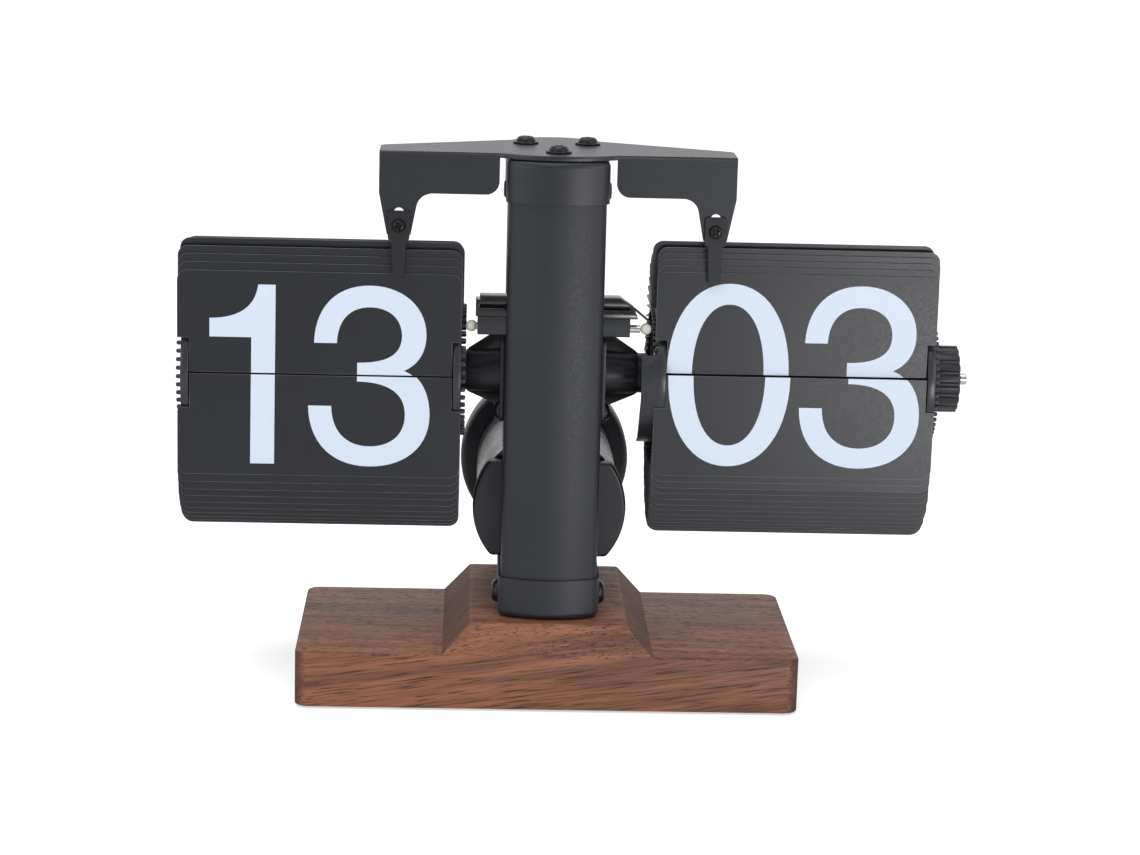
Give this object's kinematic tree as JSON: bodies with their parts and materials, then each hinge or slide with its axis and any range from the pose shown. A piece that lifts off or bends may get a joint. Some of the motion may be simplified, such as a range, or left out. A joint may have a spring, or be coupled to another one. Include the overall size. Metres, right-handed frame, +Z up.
{
  "type": "flip clock",
  "caption": "Desk flip clock with split-leaf hour and minute drums on a common axle, an oval black column, a sheet metal stop bracket, a battery barrel behind and a walnut base.",
  "frame": {"origin": "on the table, under the middle of the walnut base", "axes": "+X to the viewer's right along the axle, -Y towards the viewer, +Z up"},
  "size_m": [0.205, 0.0887, 0.1451],
  "materials": {
    "walnut": "satin oil on solid walnut",
    "foot_rubber": "die cut rubber sheet",
    "column_paint": "matt black paint on steel tube",
    "black_abs": "fine textured black moulding",
    "bracket_coat": "satin black powder coat",
    "black_screw": "black oxide",
    "zinc_screw": "bright zinc",
    "bridge_nylon": "grey moulded nylon",
    "rod_steel": "ground steel",
    "tip_acetal": "natural acetal",
    "contact_steel": "nickel plated spring steel",
    "cell_jacket": "plain printed sleeve",
    "wheel_plastic": "black moulding",
    "leaf_vinyl": "charcoal sheet with printed numbers",
    "gear_acetal": "white acetal",
    "pinion_brass": "turned brass",
    "motor_can": "drawn zinc plated can",
    "plate_steel": "zinc plated sheet",
    "board_laminate": "green glass epoxy laminate"
  },
  "bodies": {
    "frame": {"base": "walnut", "foot_sheet": "foot_rubber", "column_shell": "column_paint", "bottom_cap": "black_abs", "top_cap": "black_abs", "right_arm": "black_abs", "left_arm": "black_abs", "battery_barrel": "black_abs", "carry_guide": "black_abs", "top_bracket": "bracket_coat", "right_finger": "bracket_coat", "left_finger": "bracket_coat", "bracket_screws": "black_screw", "bracket_washers": "black_screw", "finger_screws": "black_screw", "arm_screws": "black_screw", "cap_screws": "black_screw", "base_screws": "zinc_screw", "carry_bridge": "bridge_nylon", "front_contact": "contact_steel", "battery_cell": "cell_jacket", "hour_leaves": "leaf_vinyl", "minute_leaves": "leaf_vinyl", "motor": "motor_can", "movement_plate": "plate_steel", "circuit_board": "board_laminate"},
    "minute_drum": {"axle": "rod_steel", "minute_outer_wheel": "wheel_plastic", "minute_inner_wheel": "wheel_plastic", "minute_hub": "wheel_plastic", "setting_knob": "black_abs", "drive_gear": "gear_acetal"},
    "hour_drum": {"hour_inner_wheel": "wheel_plastic", "hour_outer_wheel": "wheel_plastic", "hour_hub": "wheel_plastic"},
    "motor_pinion": {"motor_pinion": "pinion_brass", "motor_shaft": "rod_steel"},
    "carry_rod": {"carry_rod": "rod_steel", "carry_tips": "tip_acetal"},
    "battery_cap": {"battery_cap": "black_abs", "cap_contact": "contact_steel"},
    "hour_front_leaf": {"hour_front_leaf": "leaf_vinyl"},
    "minute_front_leaf": {"minute_front_leaf": "leaf_vinyl"}
  },
  "joints": [
    {"name": "minute_turn", "type": "hinge", "parent": "frame", "child": "minute_drum", "pos_m": [0, -0.0049, 0.0844], "axis": [1, 0, 0], "continuous": true},
    {"name": "hour_turn", "type": "hinge", "parent": "frame", "child": "hour_drum", "pos_m": [0, -0.0049, 0.0844], "axis": [1, 0, 0], "continuous": true},
    {"name": "pinion_turn", "type": "hinge", "parent": "frame", "child": "motor_pinion", "pos_m": [0, -0.0049, 0.0988], "axis": [1, 0, 0], "continuous": true},
    {"name": "carry_slide", "type": "slide", "parent": "frame", "child": "carry_rod", "axis": [1, 0, 0], "range_m": [-0.0007, 0]},
    {"name": "battery_cap_twist", "type": "hinge", "parent": "frame", "child": "battery_cap", "pos_m": [0, 0.05, 0.0494], "axis": [0, 1, 0], "range_deg": [0, 60]},
    {"name": "hour_leaf_flip", "type": "hinge", "parent": "frame", "child": "hour_front_leaf", "pos_m": [-0.0593, -0.02166, 0.08441], "axis": [-1, 0, 0], "range_deg": [0, 165]},
    {"name": "minute_leaf_flip", "type": "hinge", "parent": "frame", "child": "minute_front_leaf", "pos_m": [0.0623, -0.02212, 0.08654], "axis": [-1, 0, 0], "range_deg": [0, 165]}
  ],
  "couplings": [
    {"joint": "hour_turn", "follows": "minute_turn", "ratio": 0.041667},
    {"joint": "pinion_turn", "follows": "minute_turn", "ratio": -2.6}
  ]
}
